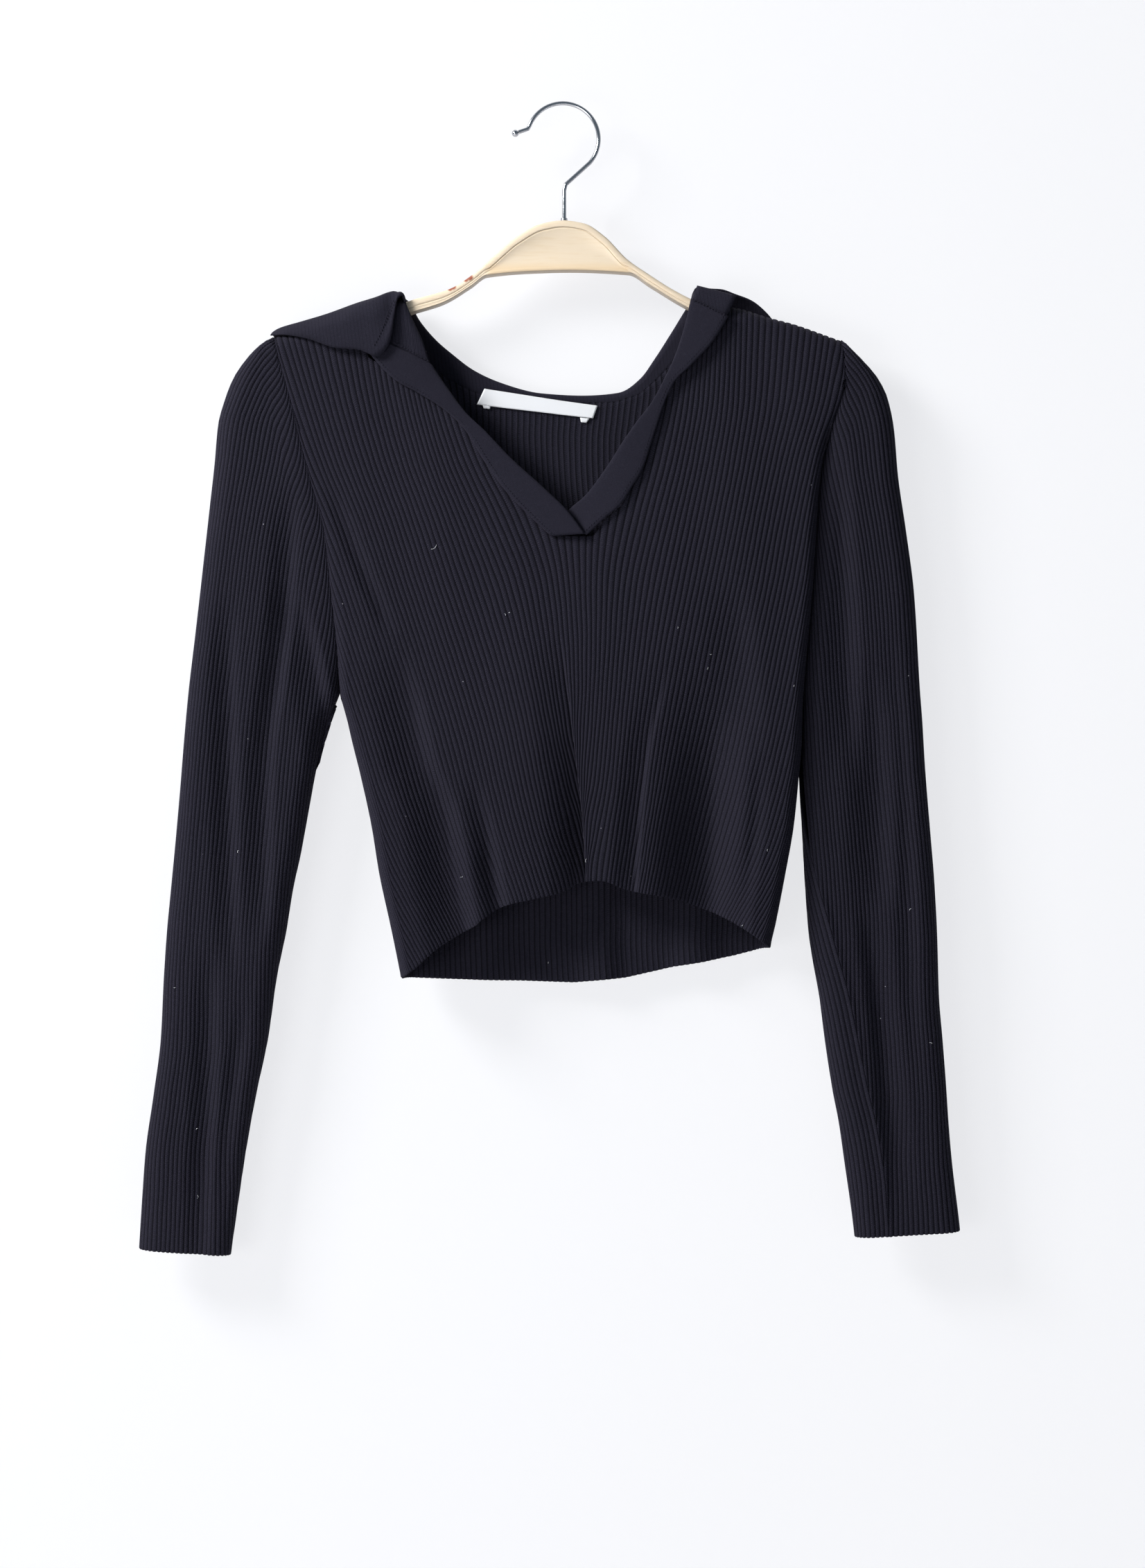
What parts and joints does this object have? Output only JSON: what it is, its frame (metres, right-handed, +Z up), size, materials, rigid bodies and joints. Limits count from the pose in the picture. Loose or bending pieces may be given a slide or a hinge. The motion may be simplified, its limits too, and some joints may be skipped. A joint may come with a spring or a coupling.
{
  "type": "sweater on a hanger",
  "caption": "Cropped long-sleeved rib-knit sweater with a V neck and an open polo collar, hung on a flat wooden hanger with a wire hook.",
  "frame": {"origin": "inside top of the hanger's hook, where a rail carries it", "axes": "+Z up, +X towards the viewer's right, +Y towards the back of the sweater; the front faces -Y"},
  "size_m": [0.5331, 0.045, 0.7501],
  "materials": {
    "rib_knit": "fine rib knit",
    "plain_knit": "smooth fine knit",
    "satin": "satin",
    "birch": "satin lacquer",
    "chrome": "polished"
  },
  "bodies": {
    "root": {"front": "rib_knit", "back": "rib_knit", "sleeve_left": "rib_knit", "sleeve_right": "rib_knit", "band_left": "plain_knit", "band_right": "plain_knit", "collar": "plain_knit", "label": "satin", "hanger_wood": "birch", "hook_wire": "chrome", "hook_ball": "chrome", "hook_ferrule": "chrome"}
  },
  "joints": []
}
